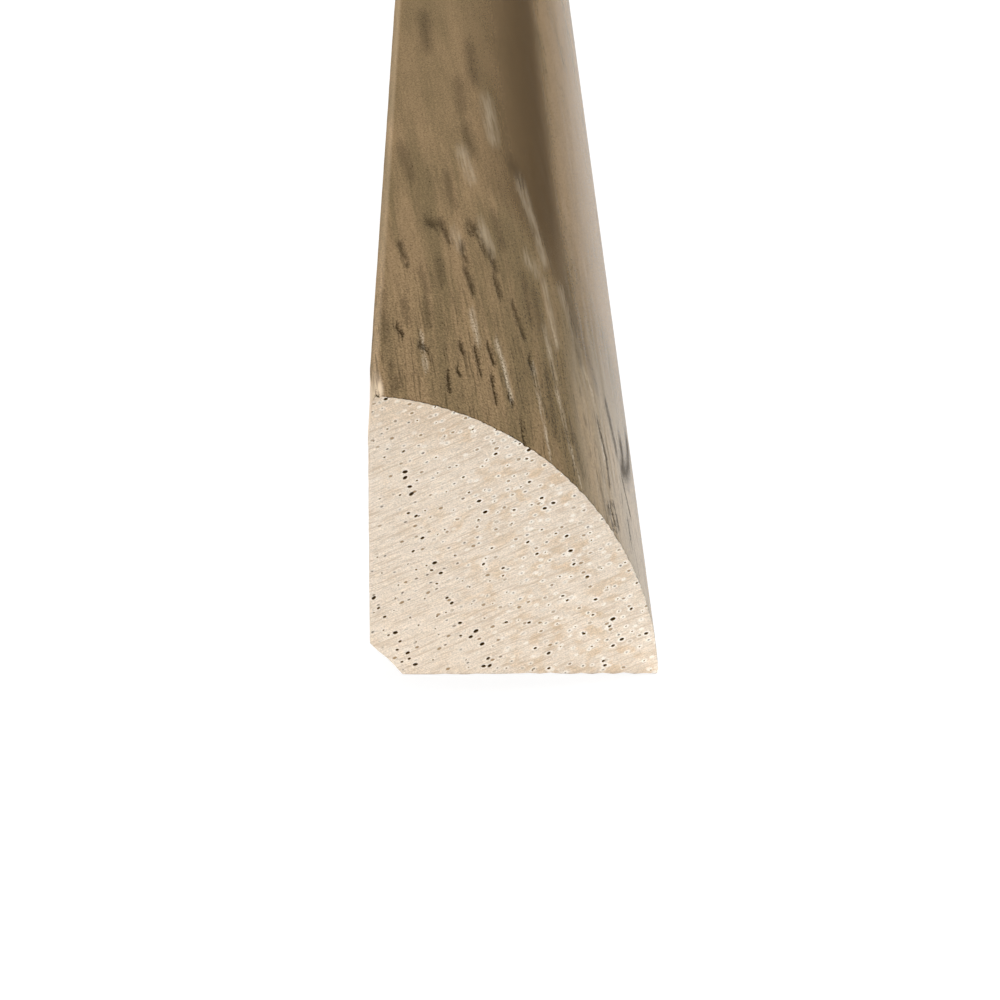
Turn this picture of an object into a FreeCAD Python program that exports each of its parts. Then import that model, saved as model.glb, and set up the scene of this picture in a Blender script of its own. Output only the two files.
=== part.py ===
# Quarter round moulding: one length of hardwood, milled to a quarter-circle section.
# It lies on its floor face, as it is nailed in the corner between floor and wall.
# Frame: X runs from the wall face out to the toe, Y along the stock, and Z up from the floor.
# The origin is on the floor, under the middle of the stock. Sizes are in millimetres.
import FreeCAD
import Part
import Sketcher

import os

# Driving dimensions, each with the row it fills in the spreadsheet.
SIZES = [
    ("length", 1981.2, "stock length, 78 inches"),
    ("width", 19.05, "floor face before its chamfer, wall to toe, 3/4 inch"),
    ("height", 19.05, "wall face before its chamfer, floor to crown, 3/4 inch"),
    ("nose_ease", 0.9, "nose radius beyond the fullest arc that fits the section"),
    ("back_chamfer", 2.15, "chamfer that clears the corner of floor and wall"),
    ("crown_round", 0.45, "sanded arris between the wall face and the nose"),
    ("toe_round", 0.2, "sanded arris between the nose and the floor face"),
]

# The smallest radius whose arc, from crown to toe, stays inside width by height, and its ease.
NOSE_RADIUS = (
    "(Sizes.width * Sizes.width + Sizes.height * Sizes.height)"
    " / (2 * min(Sizes.width; Sizes.height)) + Sizes.nose_ease"
)

# Sketcher's names for a curve's ends and for the sketch's own origin and X axis.
START, END = 1, 2
ORIGIN_POINT = (-1, START)
X_AXIS = -1


def add_sizes(doc):
    """The spreadsheet that every size of the moulding is bound to."""
    sheet = doc.addObject("Spreadsheet::Sheet", "Sizes")
    for row, (alias, value, meaning) in enumerate(SIZES, start=1):
        sheet.set(f"A{row}", alias)
        sheet.set(f"B{row}", str(value))
        sheet.set(f"C{row}", meaning)
        sheet.setAlias(f"B{row}", alias)
    doc.recompute()
    return sheet


def bind_constraint(sketch, constraint, name, formula):
    """Adds a dimension to the sketch and lets the spreadsheet drive it."""
    index = sketch.addConstraint(constraint)
    sketch.renameConstraint(index, name)
    sketch.setExpression(f"Constraints.{name}", formula)


def draw_section(body, sheet):
    """The section: wall face, floor face, and the round nose from toe to crown."""
    sketch = body.newObject("Sketcher::SketchObject", "section")
    plane = next(f for f in body.Origin.OriginFeatures if f.Role == "XZ_Plane")
    sketch.AttachmentSupport = [(plane, "")]
    sketch.MapMode = "FlatFace"

    half = sheet.width / 2
    corner = FreeCAD.Vector(-half, 0, 0)
    crown = FreeCAD.Vector(-half, sheet.height, 0)
    toe = FreeCAD.Vector(half, 0, 0)
    outer = FreeCAD.Vector(half, sheet.height, 0)
    nose_middle = (crown + toe + outer + outer) * 0.25
    wall = sketch.addGeometry(Part.LineSegment(corner, crown))
    floor = sketch.addGeometry(Part.LineSegment(corner, toe))
    nose = sketch.addGeometry(Part.ArcOfCircle(toe, nose_middle, crown))

    sketch.addConstraint([
        Sketcher.Constraint("Coincident", wall, START, floor, START),
        Sketcher.Constraint("Coincident", floor, END, nose, START),
        Sketcher.Constraint("Coincident", wall, END, nose, END),
        Sketcher.Constraint("Vertical", wall),
        Sketcher.Constraint("Horizontal", floor),
        Sketcher.Constraint("PointOnObject", floor, START, X_AXIS),
    ])
    to_middle = Sketcher.Constraint("DistanceX", floor, START, *ORIGIN_POINT, half)
    bind_constraint(sketch, to_middle, "half_width", "Sizes.width / 2")
    across = Sketcher.Constraint("DistanceX", floor, START, floor, END, sheet.width)
    bind_constraint(sketch, across, "width", "Sizes.width")
    upright = Sketcher.Constraint("DistanceY", wall, START, wall, END, sheet.height)
    bind_constraint(sketch, upright, "height", "Sizes.height")
    radius = Sketcher.Constraint("Radius", nose, sketch.Geometry[nose].Radius)
    bind_constraint(sketch, radius, "nose_radius", NOSE_RADIUS)
    return sketch


def long_edge(feature, x, z):
    """The name of the edge that passes (x, z) halfway along the stock."""
    halfway = Part.Vertex(x, 0, z)
    gaps = [edge.distToShape(halfway)[0] for edge in feature.Shape.Edges]
    return f"Edge{gaps.index(min(gaps)) + 1}"


def dress_edge(body, kind, name, base, place, size_property, alias):
    """A chamfer or fillet along the long edge at place, bound to one size."""
    body.Document.recompute()
    feature = body.newObject(f"PartDesign::{kind}", name)
    feature.Base = (base, [long_edge(base, *place)])
    feature.setExpression(size_property, f"Sizes.{alias}")
    return feature


def build_moulding(doc, sheet):
    """The moulding: its section run along the stock, then the chamfer and the sanded arrises."""
    body = doc.addObject("PartDesign::Body", "quarter_round_moulding")
    section = draw_section(body, sheet)

    stock = body.newObject("PartDesign::Pad", "stock")
    stock.Profile = section
    stock.SideType = "Symmetric"
    stock.setExpression("Length", "Sizes.length")

    half = sheet.width / 2
    corner = (-half, 0)
    crown = (-half, sheet.height)
    toe = (half, 0)
    cleared = dress_edge(body, "Chamfer", "back_corner", stock, corner, "Size", "back_chamfer")
    crowned = dress_edge(body, "Fillet", "crown_arris", cleared, crown, "Radius", "crown_round")
    dress_edge(body, "Fillet", "toe_arris", crowned, toe, "Radius", "toe_round")
    doc.recompute()
    return body


def check_document(doc, solids):
    """Stops the build if any object failed, or if a piece isn't one sound solid."""
    for item in doc.Objects:
        if "Invalid" in item.State or "Error" in item.State:
            raise RuntimeError(f"{item.Label} failed: {item.State}")
    for piece in solids:
        if piece.Shape.isNull() or not piece.Shape.isValid():
            raise RuntimeError(f"{piece.Label} has no valid shape")
        if len(piece.Shape.Solids) != 1:
            raise RuntimeError(f"{piece.Label} has {len(piece.Shape.Solids)} solids")


def main():
    doc = FreeCAD.newDocument("quarter_round")
    sheet = add_sizes(doc)
    moulding = build_moulding(doc, sheet)
    check_document(doc, [moulding])

    os.makedirs("parts", exist_ok=True)
    moulding.Shape.exportStep(os.path.join("parts", f"{moulding.Label}.step"))
    print(moulding.Label, moulding.Shape.BoundBox, f"volume {moulding.Shape.Volume:.0f} mm3")


main()
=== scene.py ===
import math

import bpy
import numpy as np
from bpy.props import FloatProperty, FloatVectorProperty, IntProperty, PointerProperty
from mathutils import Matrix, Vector


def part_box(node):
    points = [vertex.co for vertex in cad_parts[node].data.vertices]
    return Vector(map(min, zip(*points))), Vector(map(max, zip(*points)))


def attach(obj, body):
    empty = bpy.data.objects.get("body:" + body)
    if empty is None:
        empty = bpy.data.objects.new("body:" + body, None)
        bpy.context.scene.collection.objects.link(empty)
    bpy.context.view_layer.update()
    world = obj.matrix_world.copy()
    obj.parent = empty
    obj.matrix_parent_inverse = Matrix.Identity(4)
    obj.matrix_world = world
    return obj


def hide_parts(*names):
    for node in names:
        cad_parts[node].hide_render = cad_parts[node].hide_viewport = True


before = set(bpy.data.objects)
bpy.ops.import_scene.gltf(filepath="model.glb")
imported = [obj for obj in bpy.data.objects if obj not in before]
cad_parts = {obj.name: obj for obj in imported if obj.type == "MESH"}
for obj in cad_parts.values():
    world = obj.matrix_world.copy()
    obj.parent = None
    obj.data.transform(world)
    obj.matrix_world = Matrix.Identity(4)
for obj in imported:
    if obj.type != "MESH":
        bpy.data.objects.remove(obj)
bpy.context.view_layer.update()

bl_info = {
    "name": "Quarter Round Moulding",
    "version": (1, 0, 0),
    "blender": (4, 5, 0),
    "location": "3D View > Sidebar > Moulding",
    "description": "Mills a length of stained quarter round and sets up a studio for it",
    "category": "Add Mesh",
}

NODE = "quarter_round_moulding"
LOW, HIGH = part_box(NODE)
MM = 0.001

# The surfaces of the stock, in the order of its materials.
NOSE, BARE, END, PORE = range(4)

# The largest pores of the near end: mm from the wall face, mm from the floor, and radius in mm.
LARGE_PORES = (
    (2.4, 13.9, 0.15), (2.4, 13.5, 0.14), (2.7, 12.9, 0.13), (2.8, 12.4, 0.15), (2.6, 11.1, 0.1),
    (3.1, 10.9, 0.11), (2.9, 8.5, 0.1), (4.3, 7.7, 0.14), (4.1, 7.2, 0.1), (4.7, 7.0, 0.12),
    (5.1, 5.3, 0.1), (7.0, 3.0, 0.15), (7.4, 2.1, 0.14), (7.8, 1.1, 0.12), (7.9, 0.6, 0.13),
    (0.3, 5.3, 0.14), (0.6, 4.6, 0.1), (1.0, 4.0, 0.1), (1.7, 2.9, 0.14), (2.0, 2.3, 0.1),
    (2.5, 1.5, 0.13), (2.6, 1.1, 0.1), (3.0, 0.7, 0.14), (8.3, 15.1, 0.11), (10.5, 13.2, 0.1),
    (11.3, 12.1, 0.11), (11.5, 11.4, 0.12), (9.5, 11.3, 0.09), (10.4, 9.1, 0.1), (11.0, 8.3, 0.1),
    (12.7, 5.4, 0.09), (13.0, 5.1, 0.09), (14.1, 2.8, 0.1), (15.4, 0.9, 0.1), (15.5, 0.6, 0.11),
    (13.2, 8.5, 0.13), (16.0, 3.8, 0.15), (15.8, 3.3, 0.1), (16.6, 2.4, 0.13), (18.2, 2.8, 0.12),
    (17.2, 4.5, 0.1), (10.9, 1.8, 0.1), (7.5, 7.6, 0.1), (9.0, 3.6, 0.1), (11.8, 0.4, 0.1),
)
PORE_OPENING = 0.72  # of a listed radius, which is cut as a pit

# Streaks of the nose, as paths: mm across from the crown, and mm along from the near end.
STREAKS = {
    "dark": (
        ((3.6, 53), (4.3, 52)), ((4.8, 53), (5.4, 48)), ((1.6, 44), (2.2, 38)), ((6.9, 55), (7.5, 55)),
        ((7.7, 54), (8.2, 50)), ((8.7, 49), (9.1, 46)), ((6.4, 48), (6.7, 43)), ((6.6, 41), (7.2, 35)),
        ((9.0, 42), (9.4, 38)), ((10.5, 37), (11.3, 30)), ((3.3, 15), (3.9, 14)), ((1.7, 19), (2.1, 17)),
        ((5.3, 9), (5.4, 5)), ((8.3, 21), (8.7, 17)), ((6.2, 18), (6.4, 16)), ((7.3, 18), (7.7, 13)),
        ((8.5, 13), (8.8, 7)), ((9.8, 10), (10.1, 9)), ((11.7, 24), (11.9, 22)), ((10.7, 6), (10.9, 0)),
        ((0.5, 0.6), (0.7, 0)), ((6.0, 11), (6.2, 10)), ((18.9, 5), (19.3, 1)), ((19.3, 6), (19.8, 2)),
        ((19.8, 8), (20.2, 4)), ((18.8, 26), (19.5, 19), (19.5, 12)), ((22.0, 22), (22.7, 17), (23.0, 15)),
        ((22.2, 11), (22.3, 7)),
    ),
    "faint": (
        ((3.2, 36), (3.7, 31)), ((4.5, 40), (4.7, 35)), ((0.7, 23), (0.9, 19)), ((2.1, 26), (2.4, 21)),
        ((3.7, 27), (3.9, 22)), ((1.4, 8), (1.6, 2)), ((1.7, 5), (1.9, 3)), ((20.6, 36), (21.5, 27)),
        ((22.9, 33), (22.9, 29), (22.3, 24)), ((22.4, 24), (23.4, 27), (24.6, 33), (25.6, 43)),
        ((15.6, 12), (16.1, 5)), ((6.2, 109), (6.4, 100)), ((6.8, 91), (7.3, 84)), ((5.2, 69), (5.6, 62)),
        ((2.9, 136), (3.2, 124)), ((7.3, 128), (7.6, 116)), ((11.1, 87), (11.9, 83)), ((1.4, 77), (2.2, 68)),
        ((0.6, 27), (0.9, 15)), ((9.2, 62), (9.8, 55)), ((16.6, 47), (17.2, 38)), ((18.2, 7), (18.6, 1)),
        ((11.6, 47), (12.1, 36)), ((12.6, 45), (12.9, 36)), ((13.2, 24), (13.7, 8)),
    ),
    "pale": (
        ((9.0, 23), (10.0, 10)), ((12.0, 22), (12.4, 14), (13.0, 1)), ((13.7, 51), (14.1, 42), (14.5, 36)),
        ((11.9, 81), (12.8, 72), (13.9, 60)), ((5.8, 51), (6.2, 48)), ((12.1, 55), (12.8, 54)),
        ((7.1, 28), (7.5, 20)), ((3.4, 17), (3.8, 9)), ((8.0, 57), (8.8, 51)),
        ((15.6, 54), (17.2, 39), (18.4, 33), (19.0, 25), (19.3, 14)),
        ((13.4, 36), (13.9, 26), (14.3, 18), (15.0, 9), (15.9, 1)), ((8.9, 106), (9.3, 94)),
        ((6.5, 81), (7.1, 74)),
    ),
    # The band is partly a dark streak of the grain, and partly painted shade: the dark room as the satin
    # coat reflects it.
    "band": (
        (
            (16.0, 1985), (10.5, 1500), (15.0, 1050), (11.0, 640), (14.2, 330), (14.4, 150),
            (14.7, 110), (15.0, 85), (15.2, 66), (16.4, 53), (17.9, 45),
        ),
        ((17.9, 45), (19.3, 37)),
    ),
}
SQUEEZE = 0.15  # of lengths along the nose, so that a streak tapers over more than its width

# The lamps, in metres: where each hangs, what it faces, and its size.
LAMPS = {
    "left": ((-1.3, 0, 1.5), (0, 0, 0), (1.2, 3.6)),
    "right": ((1.3, 0, 1.5), (0, 0, 0), (1.2, 3.6)),
    "front": ((-0.5, -3.0, 1.0), (0, -0.99, 0), (1.6, 1.6)),
    "back": ((-1.6, 2.8, 0.9), (0, 0.99, 0), (1.6, 1.6)),
}

# The floor, and the dark card beside the stock, in metres.
FLOOR_REACH = 8.0
FLOOR_GLOW = 0.9  # of white, where the camera or a reflection sees the floor
FLOOR_SHADE = (0.15, 0.15, 0.15, 1)  # lit on top of that glow, so that a shadow shows
WHITE = (1, 1, 1, 1)
FLAG_ASIDE = 0.0245
FLAG_REACH = 1.2
FLAG_TOP = 0.03
FLAG_DARK = (0.01, 0.01, 0.01, 1)


def size(name, value, description):
    """A length that a user may change."""
    return FloatProperty(
        name=name, description=description, default=value, min=0, unit="LENGTH", precision=5
    )


def colour(name, value, description):
    """A colour that a user may change."""
    return FloatVectorProperty(
        name=name, description=description, default=(*value, 1), size=4, min=0, max=1, subtype="COLOR"
    )


def turn(name, degrees, description):
    """An angle that a user may change."""
    return FloatProperty(
        name=name, description=description, default=math.radians(degrees), subtype="ANGLE"
    )


def level(name, value, description):
    """A plain number that a user may change."""
    return FloatProperty(name=name, description=description, default=value, min=0)


class StockSizes(bpy.types.PropertyGroup):
    length: size("Length", HIGH[1] - LOW[1], "Stock length")
    width: size("Width", -2 * LOW[0], "From the wall face to the toe, before the toe is sanded")
    height: size("Height", 19.05 * MM, "From the floor to the crown, before the crown is sanded")
    nose_radius: size("Nose radius", 19.95 * MM, "Radius of the round face")
    back_chamfer: size("Back chamfer", 2.15 * MM, "Chamfer that clears the corner of floor and wall")
    crown_round: size("Crown round", 0.45 * MM, "Sanded arris at the crown")
    toe_round: size("Toe round", 0.2 * MM, "Sanded arris at the toe")
    nose_step: size("Nose step", 0.14 * MM, "Width of a facet across the nose")
    flat_step: size("Flat step", 0.7 * MM, "Width of a facet across the flat faces")
    rows: IntProperty(name="Rows", description="Sections along the stock", default=236, min=2)
    row_growth: level("Row growth", 1.015, "Length of each row over the one before it")
    groove_depth: size("Groove depth", 0.12 * MM, "Depth of an open pore on the nose")
    brush_depth: size("Brush depth", 0.025 * MM, "What the wire brush took from the soft grain")
    ragged_depth: size("Ragged depth", 0.16 * MM, "How far the saw tore the edges of the ends")
    wear_depth: size("Wear depth", 0.3 * MM, "How far the crown is worn at the near end")


class Finish(bpy.types.PropertyGroup):
    stain_olive: colour("Olive stain", (0.155, 0.109, 0.054), "Stain over the dense grain")
    stain_tan: colour("Tan stain", (0.230, 0.155, 0.081), "Stain over the open grain")
    stain_pore: colour("Pore stain", (0.016, 0.010, 0.004), "Stain gathered in the open pores")
    # Partly a dark stain of the grain, partly painted shade of the dark room reflected in the coat.
    band_stain_and_shade: colour("Band stain", (0.076, 0.046, 0.018), "Stain over the dark band of the grain")
    # Also the colour of painted sheen, laid as a pale tint over the toe side near the end.
    pale_grain_and_sheen: colour("Pale grain", (0.480, 0.400, 0.290), "Grain that the brush left pale")
    end_cream: colour("End cream", (0.765, 0.660, 0.542), "Freshly sawn end grain")
    end_tan: colour("End tan", (0.660, 0.490, 0.320), "Denser patches of the end grain")
    end_line: colour("End line", (0.480, 0.350, 0.235), "Thin dark rays of the end grain")
    # Also the colour of painted highlight on the rims of the pores.
    end_pale_and_highlight: colour("End pale", (0.930, 0.870, 0.780), "Pale flecks, and the rims of the pores")
    end_ochre: colour("End ochre", (0.270, 0.160, 0.055), "The wall of a pore under its rim")
    # Partly the dark of the pores, partly painted shade towards the bottom of a pit.
    end_pore_and_shade: colour("End pore", (0.060, 0.036, 0.014), "The bottom of a pore in the end grain")
    bare: colour("Bare wood", (0.700, 0.560, 0.410), "Planed wood with no finish")
    bare_dark: colour("Bare dark", (0.540, 0.400, 0.270), "Dense streaks of the planed wood")


class StageSettings(bpy.types.PropertyGroup):
    floor: colour("Floor", (0.85, 0.85, 0.85), "Pale studio floor")
    lens: level("Lens", 167.0, "Focal length in millimetres")
    pitch: turn("Pitch", 16.302, "How far the camera looks down")
    yaw: turn("Yaw", 0.555, "How far the camera turns to the right")
    back_off: size("Back off", 290.44 * MM, "From the near end back to the camera")
    aside: size("Aside", 5.77 * MM, "From the wall face across to the camera")
    eye: size("Eye height", 96.92 * MM, "From the floor up to the camera")
    left: level("Left", 48.0, "Power of the lamp over the wall face in watts")
    right: level("Right", 88.0, "Power of the lamp over the nose in watts")
    front: level("Front", 28.5, "Power of the lamp before the near end in watts")
    back: level("Back", 34.0, "Power of the lamp beyond the far end in watts")
    room: level("Room", 0.05, "Brightness of the room around the stage")
    bounce: level("Bounce", 0.75, "Brightness of the floor close to the near end, where 1 is white")


class Wire:
    """One node output, so that node maths is written as plain expressions."""

    def __init__(self, socket):
        self.socket = socket
        self.tree = socket.id_data

    @staticmethod
    def pick(sockets, key):
        if isinstance(key, int):
            return sockets[key]
        return next(s for s in sockets if key in (s.identifier, s.name))

    @classmethod
    def add(cls, tree, kind, settings=None, inputs=None, out=0):
        """Adds a node: its settings first, then the values or links of its sockets."""
        node = tree.nodes.new(kind)
        for name, value in (settings or {}).items():
            setattr(node, name, value)
        for key, value in (inputs or {}).items():
            socket = cls.pick(node.inputs, key)
            if isinstance(value, Wire):
                tree.links.new(value.socket, socket)
            else:
                socket.default_value = value
        return cls(cls.pick(node.outputs, out))

    def other(self, key):
        """Another output of the same node."""
        return Wire(self.pick(self.socket.node.outputs, key))

    def maths(self, operation, *values):
        return Wire.add(self.tree, "ShaderNodeMath", {"operation": operation}, dict(enumerate(values)))

    def __add__(self, value):
        return self.maths("ADD", self, value)

    def __sub__(self, value):
        return self.maths("SUBTRACT", self, value)

    def __rsub__(self, value):
        return self.maths("SUBTRACT", value, self)

    def __mul__(self, value):
        return self.maths("MULTIPLY", self, value)

    def __truediv__(self, value):
        return self.maths("DIVIDE", self, value)

    def __pow__(self, value):
        return self.maths("POWER", self, value)

    __radd__ = __add__
    __rmul__ = __mul__

    def above(self, value):
        return self.maths("GREATER_THAN", self, value)

    def at_least(self, value):
        return self.maths("MAXIMUM", self, value)

    def at_most(self, value):
        return self.maths("MINIMUM", self, value)

    def magnitude(self):
        return self.maths("ABSOLUTE", self)

    def fraction(self):
        return self.maths("FRACT", self)

    def root(self):
        return self.maths("SQRT", self)

    def rise(self, low, high):
        """0 up to low, 1 from high on, and a smooth step between."""
        inputs = {"Value": self, "From Min": low, "From Max": high}
        return Wire.add(self.tree, "ShaderNodeMapRange", {"interpolation_type": "SMOOTHSTEP"}, inputs)

    def split(self):
        x = Wire.add(self.tree, "ShaderNodeSeparateXYZ", inputs={0: self})
        return x, x.other("Y"), x.other("Z")

    def distance(self, point):
        inputs = {0: self, 1: point}
        return Wire.add(self.tree, "ShaderNodeVectorMath", {"operation": "DISTANCE"}, inputs, "Value")

    def mixed(self, first, second):
        """A colour between two, with this value as the factor."""
        settings = {"data_type": "RGBA", "blend_type": "MIX"}
        inputs = {"Factor_Float": self, "A_Color": first, "B_Color": second}
        return Wire.add(self.tree, "ShaderNodeMix", settings, inputs, "Result_Color")

    def shaded(self, amount):
        """This colour, made lighter or darker by a value around 1."""
        settings = {"data_type": "RGBA", "blend_type": "MULTIPLY"}
        inputs = {"Factor_Float": 1.0, "A_Color": self, "B_Color": amount}
        return Wire.add(self.tree, "ShaderNodeMix", settings, inputs, "Result_Color")


def vector(tree, x, y, z):
    return Wire.add(tree, "ShaderNodeCombineXYZ", inputs={0: x, 1: y, 2: z})


class Section:
    """The stock's cross-section, in metres from the corner of floor and wall."""

    def __init__(self, sizes):
        self.sizes = sizes
        crown = Vector((0, sizes.height))
        toe = Vector((sizes.width, 0))
        outward = Vector((sizes.height, sizes.width)).normalized()
        reach = math.sqrt(sizes.nose_radius**2 - (toe - crown).length_squared / 4)
        self.centre = (crown + toe) / 2 - outward * reach
        self.crown_angle = math.atan2(*(crown - self.centre))
        self.toe_angle = math.atan2(*(toe - self.centre))

    def arc(self, centre, radius, start, end):
        """Points of an arc between two angles, measured from straight up towards the toe."""
        count = max(4, round((end - start) * radius / self.sizes.nose_step))
        angles = np.linspace(start, end, count, endpoint=False)
        return [(centre[0] + radius * math.sin(a), centre[1] + radius * math.cos(a)) for a in angles]

    def line(self, start, end):
        """Points of a straight run, without its last."""
        start, end = Vector(start), Vector(end)
        count = max(2, round((end - start).length / self.sizes.flat_step))
        return [tuple(start.lerp(end, i / count)) for i in range(count)]

    def outline(self):
        """The closed outline: up the wall face, over the nose, and back along the floor."""
        sizes = self.sizes
        x, z = self.centre
        crown_round, toe_round, chamfer = sizes.crown_round, sizes.toe_round, sizes.back_chamfer
        crown_reach, toe_reach = sizes.nose_radius - crown_round, sizes.nose_radius - toe_round
        crown_centre = (crown_round, z + math.sqrt(crown_reach**2 - (crown_round - x) ** 2))
        toe_centre = (x + math.sqrt(toe_reach**2 - (toe_round - z) ** 2), toe_round)
        nose_start = math.atan2(crown_centre[0] - x, crown_centre[1] - z)
        nose_end = math.atan2(toe_centre[0] - x, toe_centre[1] - z)
        return (
            self.line((0, chamfer), (0, crown_centre[1]))
            + self.arc(crown_centre, crown_round, -math.pi / 2, nose_start)
            + self.arc(self.centre, sizes.nose_radius, nose_start, nose_end)
            + self.arc(toe_centre, toe_round, nose_end, math.pi)
            + self.line((toe_centre[0], 0), (chamfer, 0))
            + self.line((chamfer, 0), (0, chamfer))
        )


class Wood:
    """The timber in the stock: where a point lies in its grain, its vessels and fibres, in mm."""

    RAY_ANGLE = math.radians(23)  # how much the rays rise towards the toe, seen from the near end
    COS = math.cos(RAY_ANGLE)
    SIN = math.sin(RAY_ANGLE)
    RING_RADIUS = 100.0
    RING_SPACING = 4.2
    RING_START = 2.6  # from the corner of floor and wall to the first row of large pores
    LEAN = (0.045, -0.018)  # mm that the grain leans to the wall and down for each mm along
    VESSEL_SPACING = 0.8
    FLECK_SPACING = 0.55
    PORE_LENGTH = 1.8  # of a pore along the ray, over its width

    def __init__(self, tree, place, sizes):
        self.tree = tree
        x, y, z = place.split()
        self.x = (x + sizes.width / 2) / MM
        self.along = (y + sizes.length / 2) / MM
        self.z = z / MM
        self.length = sizes.length / MM
        u = self.x + self.along * self.LEAN[0]
        v = self.z + self.along * self.LEAN[1]
        self.radial, self.tangent = self.in_grain(u, v)

    def in_grain(self, x, z):
        """The place in the grain, across the rings and along them, of a point of the near end."""
        return x * self.COS + z * self.SIN, z * self.COS - x * self.SIN

    def in_section(self, radial, tangent):
        """The place in the section, x and z, of a point of the grain."""
        x = radial * self.COS - tangent * self.SIN - self.along * self.LEAN[0]
        z = radial * self.SIN + tangent * self.COS - self.along * self.LEAN[1]
        return x, z

    def from_end(self):
        """Distance from the nearer end."""
        return self.along.at_most(self.length - self.along)

    def ring_row(self, radial, tangent):
        """1 on a row of large pores, and 0 halfway to the next."""
        bow = tangent * tangent / (2 * self.RING_RADIUS)
        ring = (radial - bow - self.RING_START) / self.RING_SPACING
        return ((ring - 0.5).fraction() - 0.5).magnitude() * -2 + 1

    def noise(self, radial, tangent, along, detail=2.0, shift=0.0):
        """Noise with grains of these sizes across the rings, along them and along the fibres."""
        place = vector(
            self.tree, self.radial / radial + shift, self.tangent / tangent, self.along / along
        )
        inputs = {"Vector": place, "Scale": 1.0, "Detail": detail}
        return Wire.add(self.tree, "ShaderNodeTexNoise", {"noise_dimensions": "3D"}, inputs)

    def cells(self, spacing):
        """The nearest of scattered points in the grain: the gap to it, its place and two chances."""
        long = spacing * self.PORE_LENGTH
        place = vector(self.tree, self.radial / long, self.tangent / spacing, 0.0)
        settings = {"voronoi_dimensions": "2D", "feature": "F1"}
        gap = Wire.add(self.tree, "ShaderNodeTexVoronoi", settings, {"Vector": place, "Scale": 1.0})
        first, second, _ = gap.other("Color").split()
        radial, tangent, _ = gap.other("Position").split()
        return gap * spacing, (radial * long, tangent * spacing), first, second

    def vessels(self):
        """The nearest vessel: the gap to its middle, its place in the grain and its radius."""
        gap, place, growth, _ = self.cells(self.VESSEL_SPACING)
        radius = growth * (0.03 + self.ring_row(*place).rise(0.4, 1.0) * 0.06) + 0.015
        return gap, place, radius

    def pore_gap(self):
        """From the rim of the nearest pore of the near end."""
        gap, _, radius = self.vessels()
        gap = gap - radius
        place = vector(self.tree, self.radial / self.PORE_LENGTH, self.tangent, 0.0)
        for x, z, listed in LARGE_PORES:
            radial, tangent = self.in_grain(x, z)
            centre = (radial / self.PORE_LENGTH, tangent, 0)
            gap = gap.at_most(place.distance(centre) - listed * PORE_OPENING)
        return gap


def nose_place(wood, section):
    """On the nose, mm across from the crown, and 1 where the point is on the nose's surface."""
    x = wood.x - section.centre.x / MM
    z = wood.z - section.centre.y / MM
    radius = section.sizes.nose_radius / MM
    across = (x.maths("ARCTAN2", x, z) - section.crown_angle) * radius
    reach = (x * x + z * z).root()
    return across, reach.rise(radius - 0.6, radius - 0.4)


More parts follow.
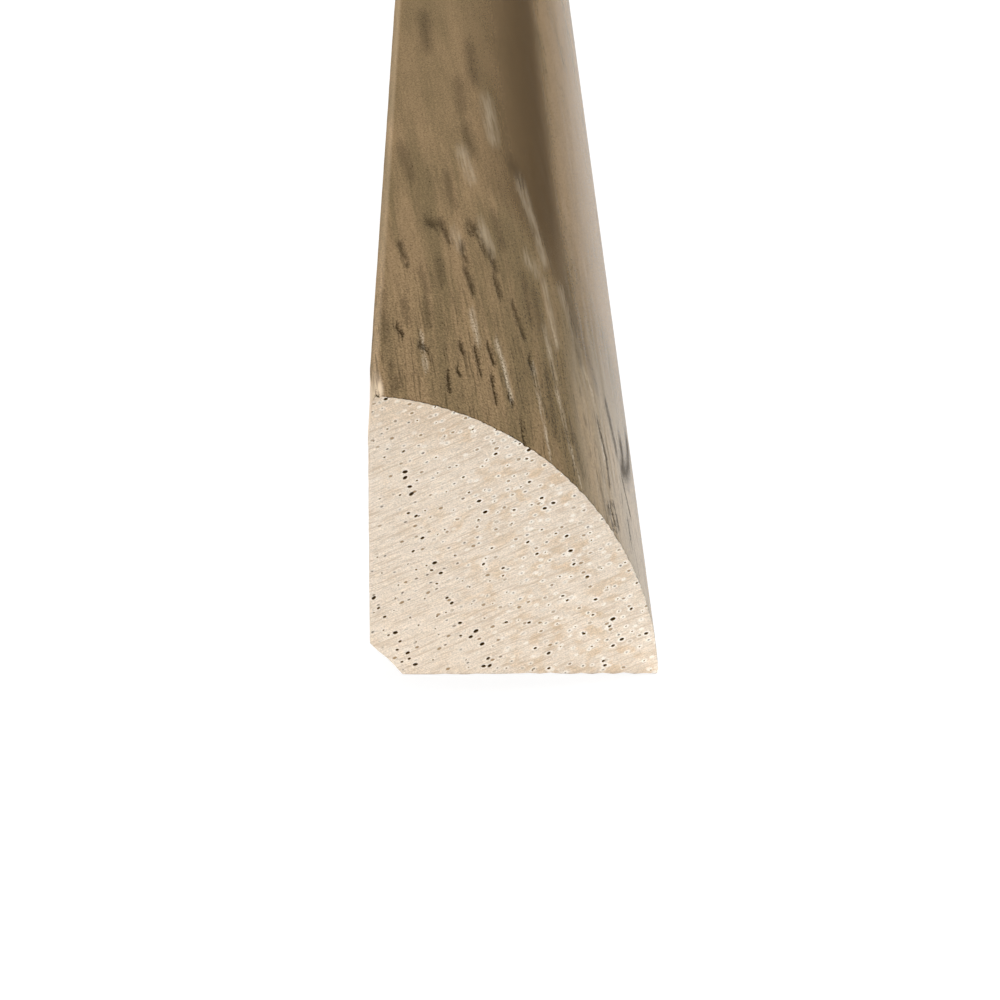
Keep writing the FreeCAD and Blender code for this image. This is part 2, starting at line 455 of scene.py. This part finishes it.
class Mill:
    """Geometry nodes that sweep the section, brush the nose, tear the ends and open their pores."""

    INPUTS = {
        "Section": "Geometry", "Length": "Float", "Width": "Float", "Height": "Float", "Rows": "Int",
        "Row Growth": "Float", "Groove Depth": "Float", "Brush Depth": "Float",
        "Ragged Depth": "Float", "Wear Depth": "Float", "Large Pores": "Object",
        **{name: "Object" for name in STREAKS},
    }
    GRID_POINTS = 96  # each way over an end, so that every vessel there has a point near it
    PORE_CLEARANCE = 0.4 * MM
    SMALLEST_PORE = 0.03  # radius in mm from which a vessel is cut as a pit
    PORE_DEPTH = 1.8  # of a pit, over the radius of its pore
    PORE_SWAY = 0.3  # radians that a pore may lie off the ray

    def __init__(self, sizes, section):
        self.tree = bpy.data.node_groups.new("mill_stock", "GeometryNodeTree")
        for name, kind in self.INPUTS.items():
            self.tree.interface.new_socket(name, in_out="INPUT", socket_type=f"NodeSocket{kind}")
        self.tree.interface.new_socket("Stock", in_out="OUTPUT", socket_type="NodeSocketGeometry")
        self.given = Wire(self.tree.nodes.new("NodeGroupInput").outputs[0]).other

        # Places in the wood and on the nose hold for every point that these fields are read at.
        self.place = self.node("GeometryNodeInputPosition")
        self.normal = self.node("GeometryNodeInputNormal")
        self.wood = Wood(self.tree, self.place, sizes)
        self.across, self.on_nose = nose_place(self.wood, section)
        self.gaps = {name: self.streak_gap(name) for name in STREAKS}

        stock = self.swept()
        stock = self.sorted_faces(stock)
        stock = self.worked(stock)
        stock = self.bored(stock)
        stock = self.finished(stock)
        result = self.tree.nodes.new("NodeGroupOutput")
        self.tree.links.new(stock.socket, result.inputs[0])

    def node(self, kind, settings=None, out=0, **inputs):
        """Adds a node, with its sockets named with underscores for spaces."""
        named = {key.replace("_", " "): value for key, value in inputs.items()}
        return Wire.add(self.tree, kind, settings, named, out)

    def stored(self, geometry, name, value, data_type="FLOAT", domain="POINT"):
        settings = {"data_type": data_type, "domain": domain}
        inputs = {"Geometry": geometry, "Name": name, "Value": value}
        return Wire.add(self.tree, "GeometryNodeStoreNamedAttribute", settings, inputs)

    def named(self, name, data_type="FLOAT"):
        return self.node("GeometryNodeInputNamedAttribute", {"data_type": data_type}, Name=name)

    def joined(self, *parts):
        join = self.tree.nodes.new("GeometryNodeJoinGeometry")
        for part in parts:
            self.tree.links.new(part.socket, join.inputs[0])
        return Wire(join.outputs[0])

    def shape_of(self, name):
        return self.node("GeometryNodeObjectInfo", Object=self.given(name), out="Geometry")

    def streak_gap(self, name):
        """From the nearest streak of a kind: the gap signed by its side, then the plain gap."""
        unrolled = vector(self.tree, self.across, self.wood.along * SQUEEZE, 0.0)
        inputs = {"Geometry": self.shape_of(name), "Sample Position": unrolled}
        nearest = Wire.add(self.tree, "GeometryNodeProximity", {"target_element": "EDGES"}, inputs)
        distance = nearest.other("Distance")
        side = self.across - nearest.split()[0]
        return vector(self.tree, distance * side.maths("SIGN", side), distance, 0.0)

    def swept(self):
        """The section, carried along the stock by rows that are closest at the near end."""
        profile = self.node("GeometryNodeMeshToCurve", Mesh=self.given("Section"))
        growth = self.given("Row Growth")
        rows = self.given("Rows")
        share = (growth ** self.node("GeometryNodeInputIndex") - 1) / (growth ** (rows - 1) - 1)
        place = vector(self.tree, 0.0, (share - 0.5) * self.given("Length"), 0.0)
        line = self.node("GeometryNodeMeshLine", Count=rows)
        line = self.node("GeometryNodeSetPosition", Geometry=line, Position=place)
        rail = self.node("GeometryNodeMeshToCurve", Mesh=line)
        return self.node("GeometryNodeCurveToMesh", Curve=rail, Profile_Curve=profile, Fill_Caps=True)

    def sorted_faces(self, stock):
        """The stock, with the surface that each face belongs to."""
        on_end = self.normal.split()[1].magnitude().above(0.7)
        off_nose = 1 - self.on_nose.above(0.5)
        surface = on_end * END + (1 - on_end) * off_nose * BARE
        return self.stored(stock, "surface", surface, "INT", "FACE")

    def worked(self, stock):
        """The stock, with its nose brushed and open-pored, its ends torn and its crown worn."""
        wood = self.wood
        soft = wood.noise(0.5, 0.5, 16.0).rise(0.45, 0.7) * self.given("Brush Depth")
        in_pore = 1 - self.gaps["dark"].split()[1].rise(0.06, 0.22)
        groove = in_pore * (1 - self.across.rise(16.0, 18.0)) * self.given("Groove Depth")
        brushed = (soft + groove) * (1 - wood.along.rise(250.0, 400.0)) * self.on_nose
        torn = wood.noise(0.4, 0.4, 2.0, shift=7.0).rise(0.4, 0.7) * self.given("Ragged Depth")
        depth = brushed + torn * (1 - wood.from_end().rise(0.0, 1.2)) * (1 - self.on_nose * 0.5)
        worn = wood.z.rise(16.4, 18.9) * (1 - wood.x.rise(0.1, 0.9)) * (1 - wood.along.rise(1.0, 9.0))
        out_x, _, out_z = self.normal.split()
        in_x = worn * self.given("Wear Depth") - out_x * depth
        inward = vector(self.tree, in_x, 0.0, out_z * depth * -1)
        return self.node("GeometryNodeSetPosition", Geometry=stock, Offset=inward)

    def small_pores(self):
        """Points of both ends at the vessels of the grain, clear of the listed pores."""
        width, height = self.given("Width"), self.given("Height")
        grid = self.node(
            "GeometryNodeMeshGrid",
            Size_X=width, Size_Y=height, Vertices_X=self.GRID_POINTS, Vertices_Y=self.GRID_POINTS,
        )
        upright = (math.pi / 2, 0, 0)
        faces = []
        for side in (-0.5, 0.5):
            middle = vector(self.tree, 0.0, self.given("Length") * side, height * 0.5)
            face = self.node("GeometryNodeTransform", Geometry=grid, Translation=middle, Rotation=upright)
            faces.append(face)
        _, vessel, radius = self.wood.vessels()
        x, z = self.wood.in_section(*vessel)
        place = vector(self.tree, x * MM - width * 0.5, self.place.split()[1], z * MM)
        pores = self.stored(self.joined(*faces), "pore_radius", radius)
        pores = self.node("GeometryNodeSetPosition", Geometry=pores, Position=place)
        pores = self.node("GeometryNodeMergeByDistance", Geometry=pores, Distance=self.PORE_CLEARANCE)
        listed = {"Geometry": self.shape_of("Large Pores")}
        to_points = {"target_element": "POINTS"}
        from_large = Wire.add(self.tree, "GeometryNodeProximity", to_points, listed, "Distance")
        clear = from_large.above(self.PORE_CLEARANCE)
        seen = self.named("pore_radius").above(self.SMALLEST_PORE) * clear
        return self.node("GeometryNodeMeshToPoints", Mesh=pores, Selection=seen)

    def bored(self, stock):
        """The stock, with the pores of its ends cut as pits: small ones and the listed ones."""
        listed = self.node("GeometryNodeMeshToPoints", Mesh=self.shape_of("Large Pores"))
        points = self.joined(self.small_pores(), listed)
        ball = self.node("GeometryNodeMeshUVSphere", Segments=9, Rings=6, Radius=1.0)
        ray = -Wood.RAY_ANGLE
        tilts = {"Min_001": ray - self.PORE_SWAY, "Max_001": ray + self.PORE_SWAY, "Seed": 4}
        tilt = Wire.add(self.tree, "FunctionNodeRandomValue", {"data_type": "FLOAT"}, tilts, "Value_001")
        turned = vector(self.tree, 0.0, tilt, 0.0)
        radius = self.named("pore_radius") * MM
        stretch = vector(self.tree, radius * Wood.PORE_LENGTH, radius * self.PORE_DEPTH, radius)
        pores = self.node(
            "GeometryNodeInstanceOnPoints", Points=points, Instance=ball, Rotation=turned, Scale=stretch
        )
        pores = self.node("GeometryNodeRealizeInstances", Geometry=pores)
        pores = self.stored(pores, "surface", PORE, "INT", "FACE")
        boolean = {"operation": "DIFFERENCE", "solver": "MANIFOLD"}
        pieces = {"Mesh 1": stock, "Mesh 2": pores}
        return Wire.add(self.tree, "GeometryNodeMeshBoolean", boolean, pieces)

    def finished(self, stock):
        """The stock, with what its finishes read, smooth faces on the nose alone, and its materials."""
        for name, gap in self.gaps.items():
            stock = self.stored(stock, name, gap, "FLOAT_VECTOR")
        surface = self.named("surface", "INT")
        smooth = 1 - surface.above(NOSE + 0.5)
        stock = self.node("GeometryNodeSetShadeSmooth", Geometry=stock, Shade_Smooth=smooth)
        stock = self.node("GeometryNodeRealizeInstances", Geometry=stock)
        for index, name in enumerate(("stained_nose", "bare_wood", "sawn_end", "open_pore")):
            here = surface.maths("COMPARE", surface, index, 0.5)
            material = bpy.data.materials[name]
            stock = self.node("GeometryNodeSetMaterial", Geometry=stock, Selection=here, Material=material)
        return stock


def new_finish(name):
    """An empty material: its node tree, its shader and the place of a point on the piece."""
    material = bpy.data.materials.new(name)
    material.use_nodes = True
    tree = material.node_tree
    shader = tree.nodes["Principled BSDF"]
    place = Wire.add(tree, "ShaderNodeTexCoord", out="Object")
    return tree, shader, place


def feed(tree, shader, inputs):
    """Links wires to a shader's sockets, and sets plain values on them."""
    for name, value in inputs.items():
        if isinstance(value, Wire):
            tree.links.new(value.socket, shader.inputs[name])
        else:
            shader.inputs[name].default_value = value


def bumped(tree, height, distance):
    """A normal from a height, which is in steps of distance."""
    inputs = {"Height": height, "Distance": distance, "Strength": 1.0}
    return Wire.add(tree, "ShaderNodeBump", inputs=inputs)


class NoseGrain:
    """The grain that shows through the finish of the nose. Its marks run from 0 to 1."""

    def __init__(self, tree, place, sizes, section):
        wood = Wood(tree, place, sizes)
        self.tree = tree
        self.wood = wood
        self.across, _ = nose_place(wood, section)
        self.near = 1 - wood.along.rise(12.0, 50.0)
        low_side = self.across.rise(22.0, 25.5) * wood.along.rise(40.0, 70.0)
        self.beyond = wood.along.rise(155.0, 260.0).at_least(low_side * 0.75)
        self.wide = wood.noise(2.4, 2.4, 170.0, 2.0, shift=13.0)
        self.fibre = wood.noise(0.2, 0.2, 7.0, 3.0)
        self.blotch = wood.noise(0.3, 0.3, 2.4, 1.0, shift=5.0)
        self.speck = wood.noise(0.13, 0.13, 0.35, 2.0)
        self.rough = (self.speck - 0.5) * 0.3 + (self.blotch - 0.5) * 0.3
        self.soft = wood.along * 0.007 + 0.16

    def gaps(self, name):
        """From the nearest streak of a kind: the gap signed by its side, and the plain gap."""
        gap = Wire.add(self.tree, "ShaderNodeAttribute", {"attribute_name": name}, out="Vector")
        sided, plain, _ = gap.split()
        return sided, plain

    def streak(self, name, low, high):
        """1 on a streak of a kind, 0 off it, with its edge made rough."""
        sided, plain = self.gaps(name)
        return 1 - (sided.magnitude().at_least(plain - 0.1) + self.rough).rise(low, high)

    def stain(self, finish):
        """The stain's colour, olive to tan, with its fibres and specks, and painted light that makes the toe
        side lighter.
        """
        along, across, near = self.wood.along, self.across, self.near
        calm = along.rise(45.0, 120.0).at_least(across.rise(15.0, 19.0))
        stripe = self.wood.noise(0.7, 0.7, 30.0, 3.0)
        cloud = self.wood.noise(2.2, 2.2, 26.0, 1.0, shift=8.0)
        tone = (cloud - 0.5) * (0.6 - calm * 0.2) + (stripe - 0.5) * (0.55 - calm * 0.5) + 0.5
        # Painted light: the toe side is pushed towards the lighter tan all along the stock.
        tone = tone + across.rise(15.5, 18.0) * 0.1 + (1 - across.rise(2.0, 5.0)) * near * 0.1
        tone = tone - across.rise(8.0, 11.0) * (1 - along.rise(50.0, 80.0)) * 0.15
        tone = tone + (self.wide - 0.5) * self.beyond * 1.1
        paint = tone.rise(0.34, 0.64).mixed(finish.stain_olive, finish.stain_tan)
        shade = (self.fibre - 0.5) * (0.6 - calm * 0.4) + (self.speck - 0.5) * (near * 0.5 + 1.3)
        # Painted light: the toe side is made lighter still near the end.
        return paint.shaded(shade + across.rise(15.5, 18.0) * near * 0.2 + 1.0)

    def dark(self):
        """Open pores full of stain: listed streaks, fine threads near the end, and dashes beyond."""
        near = self.near
        broken = self.blotch.rise(0.2, 0.5).at_least(near * 0.85) * (near * 0.25 + 0.7)
        dark = self.streak("dark", -0.02, self.soft) * broken
        weak = self.across.rise(18.0, 21.0) * 0.4 + 0.45
        broad = self.soft + 0.2 + self.across.rise(21.0, 23.0) * 0.3
        dark = dark.at_least(self.streak("faint", -0.1, broad) * weak)
        thread = self.wood.noise(0.16, 0.16, 9.0, 1.0, shift=2.0)
        dark = dark.at_least(thread.rise(0.56, 0.7) * (near * 0.4 + 0.05))
        dash = self.wood.noise(0.3, 0.3, 8.0, 1.0, shift=11.0) + (self.wide - 0.5) * 0.3
        return dark.at_least(dash.rise(0.66, 0.74) * self.beyond * 0.8)

    def band(self):
        """The dark band, which widens along the stock, most of all towards the crown. It is partly a dark
        streak of the grain, and partly a painted reflection of the dark room in the satin coat.
        """
        along = self.wood.along
        spread = along.rise(35.0, 75.0) * 1.9 + 0.5
        slope = along.rise(45.0, 75.0) * 0.73 - 1
        beside, _ = self.gaps("band")
        band = 1 - (beside.at_least(beside * slope - 0.15) + self.rough * 0.5).rise(0.0, spread)
        broken = 1 - self.beyond * self.wide.rise(0.44, 0.6)
        return band * broken * (along.rise(45.0, 80.0) * 0.4 + 0.6)

    def pale(self):
        """Grain that the brush left pale, as listed streaks, and painted sheen, as a pale tint over the toe
        side near the end.
        """
        near = self.near
        clear = self.fibre.rise(0.34, 0.62)
        whole = self.speck.rise(0.35, 0.55) * clear * near + (clear * 0.35 + 0.15) * (1 - near)
        pale = self.streak("pale", -0.02, self.soft * 1.3) * whole * (near * 0.2 + 0.7)
        # Painted sheen: a pale tint over the toe side near the end.
        painted_toe_sheen = self.across.rise(14.8, 16.8) * (1 - self.wood.along.rise(25.0, 60.0))
        return pale.at_least(painted_toe_sheen * 0.22)

    def crown(self):
        """The edge of the nose at the crown, and how far it is worn to bare wood there."""
        fading = self.wood.along.rise(1.0, 8.0)
        crown = 1 - (self.across + fading * 0.4).rise(0.8, 1.15)
        return crown, crown * (0.75 - fading * 0.62)

    def rim(self):
        """Stain caught in patches along the edges of the sawn ends."""
        return (1 - self.wood.from_end().rise(0.1, 0.45)) * self.blotch.rise(0.35, 0.6)


def stained_nose(finish, sizes, section):
    """Brown stain under a satin coat, with dark open pores and pale brushed grain, painted shade in the dark
    band, and painted light and sheen on the toe side.
    """
    tree, shader, place = new_finish("stained_nose")
    grain = NoseGrain(tree, place, sizes, section)
    dark = grain.dark()
    crown, worn = grain.crown()
    # Painted shade: the dark band, partly grain and partly the dark room reflected in the coat.
    paint = (grain.band() * 0.97).mixed(grain.stain(finish), finish.band_stain_and_shade)
    # Painted sheen comes in here too, with the pale grain.
    paint = grain.pale().mixed(paint, finish.pale_grain_and_sheen)
    paint = worn.mixed(paint, finish.bare)
    paint = dark.at_least(grain.rim() * 0.6).mixed(paint, finish.stain_pore)
    feed(tree, shader, {
        "Base Color": paint,
        "Roughness": 0.6,
        "Normal": bumped(tree, grain.fibre * 0.6 + grain.speck * 0.3 - dark, 0.03 * MM),
        "Specular IOR Level": 0.0,
        "Coat Weight": (1 - dark * dark) * (1 - crown) * 0.65,
        "Coat Roughness": 0.25,
    })


def sawn_end(finish, sizes):
    """Bare end grain: cream, with fine rays, denser patches and pale flecks; the pale rims round the pores
    are partly painted highlight.
    """
    tree, shader, place = new_finish("sawn_end")
    wood = Wood(tree, place, sizes)
    deep = 40.0  # mm along, over which the end grain changes
    cloud = wood.noise(4.0, 3.0, deep, 2.0, shift=3.0)
    blotch = wood.noise(1.1, 0.8, deep, 2.0, shift=6.0)
    mottle = wood.noise(0.3, 0.2, deep, 4.0)
    ray = wood.noise(2.6, 0.11, deep, 2.0)
    hair = wood.noise(1.0, 0.06, deep, 1.0)
    fuzz = wood.noise(0.12, 0.08, deep, 2.0)
    thread = wood.noise(4.0, 0.4, deep, 1.0, shift=4.0)
    line = 1 - (thread - 0.5).magnitude().rise(0.02, 0.1)
    gap, _, growth, chance = wood.cells(wood.FLECK_SPACING)
    gap = gap + (mottle - 0.5) * 0.1
    small = (1 - gap.rise(growth * 0.06, growth * 0.06 + 0.06)) * chance.rise(0.3, 0.8)
    far_side = wood.radial.rise(4.0, 14.0) * 0.75 + 0.25
    # Pale rims round the pores: pale fuzz of the wood, and partly painted highlight.
    pale_rim_and_highlight = (1 - gap.rise(0.07, 0.17)) * chance.rise(0.2, 0.6)
    pale_rim_and_highlight = pale_rim_and_highlight.at_least(1 - wood.pore_gap().rise(0.03, 0.12)) * far_side * fuzz.rise(0.3, 0.48)

    patch = blotch.rise(0.46, 0.62) * cloud.rise(0.35, 0.6)
    patch = (patch * far_side * 0.7).at_least(wood.z.rise(13.0, 18.5) * cloud.rise(0.3, 0.6) * 0.4)
    paint = patch.mixed(finish.end_cream, finish.end_tan)
    shade = (ray - 0.5) * 0.28 + (hair - 0.5) * 0.5 + (mottle - 0.5) * 0.36 + (fuzz - 0.5) * 0.9
    # Darker towards the toe side and towards the top of the end.
    darker_to_toe_and_top = wood.x.rise(3.0, 15.0) * 0.03 + wood.z.rise(13.0, 18.5) * 0.05
    paint = paint.shaded(shade - darker_to_toe_and_top + 1.0)
    paint = (line * ray.rise(0.45, 0.6) * 0.5).mixed(paint, finish.end_line)
    paint = (pale_rim_and_highlight * 0.85).mixed(paint, finish.end_pale_and_highlight)
    inside = growth.rise(0.3, 0.7).mixed(finish.end_pore_and_shade, finish.end_ochre)
    paint = (small * 0.85).mixed(paint, inside)
    feed(tree, shader, {
        "Base Color": paint,
        "Roughness": 0.85,
        "Normal": bumped(tree, ray + hair * 0.6, 0.02 * MM),
        "Specular IOR Level": 0.2,
    })


def bare_wood(finish, sizes):
    """Planed wood with no finish, with the same fibres and vessels as the nose."""
    tree, shader, place = new_finish("bare_wood")
    wood = Wood(tree, place, sizes)
    tone = wood.noise(1.8, 1.8, 70.0)
    fibre = wood.noise(0.24, 0.24, 9.0, 3.0)
    gap, _, radius = wood.vessels()
    dash = 1 - gap.rise(radius * 0.7, radius * 1.2)
    paint = tone.rise(0.36, 0.64).mixed(finish.bare, finish.bare_dark)
    paint = paint.shaded(0.75 + fibre * 0.5)
    paint = (dash * 0.5).mixed(paint, finish.end_pore_and_shade)
    feed(tree, shader, {
        "Base Color": paint,
        "Roughness": 0.75,
        "Normal": bumped(tree, fibre * 0.6 - dash, 0.03 * MM),
        "Specular IOR Level": 0.25,
    })


def open_pore(finish, sizes):
    """The inside of a pore in the end grain, with painted shade that makes it darker towards its bottom."""
    tree, shader, place = new_finish("open_pore")
    wood = Wood(tree, place, sizes)
    # Painted shade: ochre under the rim, darkening to the pore colour at the bottom of the pit.
    paint = wood.from_end().rise(0.03, 0.14).mixed(finish.end_ochre, finish.end_pore_and_shade)
    feed(tree, shader, {"Base Color": paint, "Roughness": 0.9, "Specular IOR Level": 0.1})


def helper(name, points, edges=()):
    """A mesh that a node tree reads and that isn't kept."""
    mesh = bpy.data.meshes.new(name)
    mesh.from_pydata(points, edges, [])
    return bpy.data.objects.new(name, mesh)


def streak_paths(name, streaks):
    """Paths on the unrolled nose, in mm, as a mesh of edges."""
    points = []
    edges = []
    for path in streaks:
        first = len(points)
        points += [(across, along * SQUEEZE, 0) for across, along in path]
        edges += [(i, i + 1) for i in range(first, len(points) - 1)]
    return helper(name, points, edges)


def large_pores(sizes):
    """The listed pores, as points on the near end."""
    near = -sizes.length / 2
    points = [(x * MM - sizes.width / 2, near, z * MM) for x, z, _ in LARGE_PORES]
    pores = helper("large_pores", points)
    radius = pores.data.attributes.new("pore_radius", "FLOAT", "POINT")
    radius.data.foreach_set("value", [listed * PORE_OPENING for _, _, listed in LARGE_PORES])
    return pores


def lay_out_bake_map(mesh, sizes, section):
    """A UV map with the long faces side by side and the two ends beside them."""
    corners = np.empty(len(mesh.loops), dtype=np.int32)
    mesh.loops.foreach_get("vertex_index", corners)
    places = np.empty(len(mesh.vertices) * 3)
    mesh.vertices.foreach_get("co", places)
    x, y, z = places.reshape(-1, 3)[corners].T
    x = x + sizes.width / 2
    loops = np.empty(len(mesh.polygons), dtype=np.int32)
    mesh.polygons.foreach_get("loop_total", loops)
    surfaces = np.empty(len(mesh.polygons), dtype=np.int32)
    mesh.polygons.foreach_get("material_index", surfaces)
    surface = np.repeat(surfaces, loops)

    # Along the stock, each row of the mesh gets an equal share of the map.
    growth, rows = sizes.row_growth, sizes.rows
    share = y / sizes.length + 0.5
    along = np.log1p(share * (growth ** (rows - 1) - 1)) / np.log(growth) / (rows - 1)
    angle = np.arctan2(x - section.centre.x, z - section.centre.y)
    across = (angle - section.crown_angle) / (section.toe_angle - section.crown_angle)
    around = (x - z) / (sizes.width + sizes.height) + 0.5

    # Columns of the map, by start and width: the nose, the bare faces, then both ends in two rows.
    nose_width, bare_start, bare_width = 0.44, 0.46, 0.2
    end_start, end_width, far_start, margin = 0.68, 0.3, 0.4, 0.01
    on_nose, on_bare = surface == NOSE, surface == BARE
    end_u = end_start + x / sizes.width * end_width
    end_v = z / sizes.height * end_width
    u = np.select([on_nose, on_bare], [across * nose_width, bare_start + around * bare_width], end_u)
    v = np.select([on_nose | on_bare, y < 0], [along, end_v], far_start + end_v)
    uv = np.column_stack((u, v * (1 - 2 * margin) + margin))
    layer = mesh.uv_layers.new(name="OFBake")
    layer.data.foreach_set("uv", uv.ravel().astype(np.float32))


class MOULDING_OT_mill_stock(bpy.types.Operator):
    """Mills the length of quarter round, finishes its nose and saws its ends"""

    bl_idname = "moulding.mill_stock"
    bl_label = "Mill Stock"

    def execute(self, context):
        sizes = context.scene.moulding_sizes
        finish = context.scene.moulding_finish
        section = Section(sizes)
        stained_nose(finish, sizes, section)
        bare_wood(finish, sizes)
        sawn_end(finish, sizes)
        open_pore(finish, sizes)

        outline = [(x - sizes.width / 2, -z, 0) for x, z in section.outline()]
        count = len(outline)
        stock = helper("moulding", outline, [(i, (i + 1) % count) for i in range(count)])
        context.scene.collection.objects.link(stock)
        tree = Mill(sizes, section).tree
        helpers = {name: streak_paths(name, paths) for name, paths in STREAKS.items()}
        helpers["Large Pores"] = large_pores(sizes)
        values = {
            "Length": sizes.length, "Width": sizes.width, "Height": sizes.height, "Rows": sizes.rows,
            "Row Growth": sizes.row_growth, "Groove Depth": sizes.groove_depth,
            "Brush Depth": sizes.brush_depth, "Ragged Depth": sizes.ragged_depth,
            "Wear Depth": sizes.wear_depth, **helpers,
        }
        modifier = stock.modifiers.new("mill_stock", "NODES")
        modifier.node_group = tree
        for item in tree.interface.items_tree:
            if item.in_out == "INPUT" and item.name in values:
                modifier[item.identifier] = values[item.name]

        milled = stock.evaluated_get(context.evaluated_depsgraph_get())
        mesh = bpy.data.meshes.new_from_object(milled)
        stock.modifiers.clear()
        stock.data = mesh
        for item in helpers.values():
            bpy.data.objects.remove(item)
        lay_out_bake_map(mesh, sizes, section)
        mesh.calc_loop_triangles()
        print("moulding", len(mesh.loop_triangles), "triangles")
        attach(stock, "root")
        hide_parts(NODE)
        return {"FINISHED"}


class MOULDING_OT_set_stage(bpy.types.Operator):
    """Sets the pale floor, the dark card, the soft lamps and the camera"""

    bl_idname = "moulding.set_stage"
    bl_label = "Set Stage"

    def execute(self, context):
        scene = context.scene
        stage = scene.moulding_stage
        sizes = scene.moulding_sizes
        scene.view_settings.view_transform = "Standard"
        self.lay_floor(scene, stage)
        self.light_room(scene, stage)
        self.stand_flag(scene)
        for name, (place, target, spread) in LAMPS.items():
            self.hang_lamp(scene, name, getattr(stage, name), place, target, spread)
        self.bounce_light(scene, stage, sizes)
        self.place_camera(scene, stage, sizes)
        return {"FINISHED"}

    def sheet(self, scene, name, corners):
        """A flat sheet between four corners, and the node tree of its own material."""
        mesh = bpy.data.meshes.new(name)
        mesh.from_pydata(corners, [], [(0, 1, 2, 3)])
        sheet = bpy.data.objects.new(name, mesh)
        scene.collection.objects.link(sheet)
        material = bpy.data.materials.new(name)
        material.use_nodes = True
        mesh.materials.append(material)
        return sheet, material.node_tree

    def lay_floor(self, scene, stage):
        """A wide floor that shows white, and keeps a soft shadow."""
        reach = FLOOR_REACH
        corners = [(-reach, -reach, 0), (reach, -reach, 0), (reach, reach, 0), (-reach, reach, 0)]
        floor, tree = self.sheet(scene, "floor", corners)
        tree.nodes.clear()
        rays = Wire.add(tree, "ShaderNodeLightPath", out="Is Camera Ray")
        seen = rays.at_least(rays.other("Is Glossy Ray")).at_least(rays.other("Is Transmission Ray"))
        matt = Wire.add(tree, "ShaderNodeBsdfDiffuse", inputs={"Color": stage.floor})
        shade = Wire.add(tree, "ShaderNodeBsdfDiffuse", inputs={"Color": FLOOR_SHADE})
        glow = Wire.add(tree, "ShaderNodeEmission", inputs={"Color": WHITE, "Strength": FLOOR_GLOW})
        white = Wire.add(tree, "ShaderNodeAddShader", inputs={0: shade, 1: glow})
        surface = Wire.add(tree, "ShaderNodeMixShader", inputs={0: seen, 1: matt, 2: white})
        output = tree.nodes.new("ShaderNodeOutputMaterial")
        tree.links.new(surface.socket, output.inputs["Surface"])

    def stand_flag(self, scene):
        """A dark card beside the stock, out of the picture, that only its satin finish reflects."""
        aside, reach, top = FLAG_ASIDE, FLAG_REACH, FLAG_TOP
        corners = [(aside, -reach, 0), (aside, reach, 0), (aside, reach, top), (aside, -reach, top)]
        flag, tree = self.sheet(scene, "flag", corners)
        flag.visible_camera = False
        flag.visible_diffuse = False
        flag.visible_shadow = False
        feed(tree, tree.nodes["Principled BSDF"], {"Base Color": FLAG_DARK, "Roughness": 1.0})

    def light_room(self, scene, stage):
        """A dim, plain room around the stage."""
        world = bpy.data.worlds.new("room")
        scene.world = world
        world.use_nodes = True
        tree = world.node_tree
        tree.nodes.clear()
        room = Wire.add(tree, "ShaderNodeBackground", inputs={"Strength": stage.room})
        output = tree.nodes.new("ShaderNodeOutputWorld")
        tree.links.new(room.socket, output.inputs["Surface"])

    def hang_lamp(self, scene, name, power, place, target, spread):
        """A soft lamp at a place, facing a target and unseen by the camera."""
        lamp = bpy.data.lights.new(name, "AREA")
        lamp.shape = "RECTANGLE"
        lamp.size, lamp.size_y = spread
        lamp.energy = power
        holder = bpy.data.objects.new(name, lamp)
        holder.location = place
        holder.visible_camera = False
        holder.rotation_euler = (Vector(target) - Vector(place)).to_track_quat("-Z", "Y").to_euler()
        scene.collection.objects.link(holder)

    def bounce_light(self, scene, stage, sizes):
        """A strip of bright floor along the foot of the near end, which fills the shadow there."""
        width, depth, lift = 26 * MM, 6 * MM, 0.2 * MM
        near = -sizes.length / 2
        place = (0, near - depth / 2, lift)
        overhead = (0, near, 10 * depth)
        power = math.pi * width * depth * stage.bounce
        self.hang_lamp(scene, "bounce", power, place, overhead, (width, depth))

    def place_camera(self, scene, stage, sizes):
        """The camera before the near end, which looks along the stock and down on it."""
        camera = bpy.data.cameras.new("camera")
        camera.sensor_width = 36.0
        camera.lens = stage.lens
        camera.clip_start = 0.01
        holder = bpy.data.objects.new("camera", camera)
        holder.location = (
            stage.aside - sizes.width / 2,
            -sizes.length / 2 - stage.back_off,
            stage.eye,
        )
        holder.rotation_euler = (math.pi / 2 - stage.pitch, 0, -stage.yaw)
        scene.collection.objects.link(holder)
        scene.camera = holder


class MOULDING_PT_panel(bpy.types.Panel):
    bl_label = "Quarter Round"
    bl_idname = "MOULDING_PT_panel"
    bl_space_type = "VIEW_3D"
    bl_region_type = "UI"
    bl_category = "Moulding"

    def draw(self, context):
        layout = self.layout
        for group, operator in (
            (context.scene.moulding_sizes, None),
            (context.scene.moulding_finish, MOULDING_OT_mill_stock),
            (context.scene.moulding_stage, MOULDING_OT_set_stage),
        ):
            box = layout.box()
            for name in group.bl_rna.properties.keys():
                if name not in ("rna_type", "name"):
                    box.prop(group, name)
            if operator:
                box.operator(operator.bl_idname)


CLASSES = (
    StockSizes, Finish, StageSettings, MOULDING_OT_mill_stock, MOULDING_OT_set_stage, MOULDING_PT_panel,
)


def register():
    for item in CLASSES:
        bpy.utils.register_class(item)
    bpy.types.Scene.moulding_sizes = PointerProperty(type=StockSizes)
    bpy.types.Scene.moulding_finish = PointerProperty(type=Finish)
    bpy.types.Scene.moulding_stage = PointerProperty(type=StageSettings)


def unregister():
    del bpy.types.Scene.moulding_stage
    del bpy.types.Scene.moulding_finish
    del bpy.types.Scene.moulding_sizes
    for item in reversed(CLASSES):
        bpy.utils.unregister_class(item)


def main():
    register()
    bpy.ops.moulding.mill_stock()
    bpy.ops.moulding.set_stage()


if __name__ == "__main__":
    main()
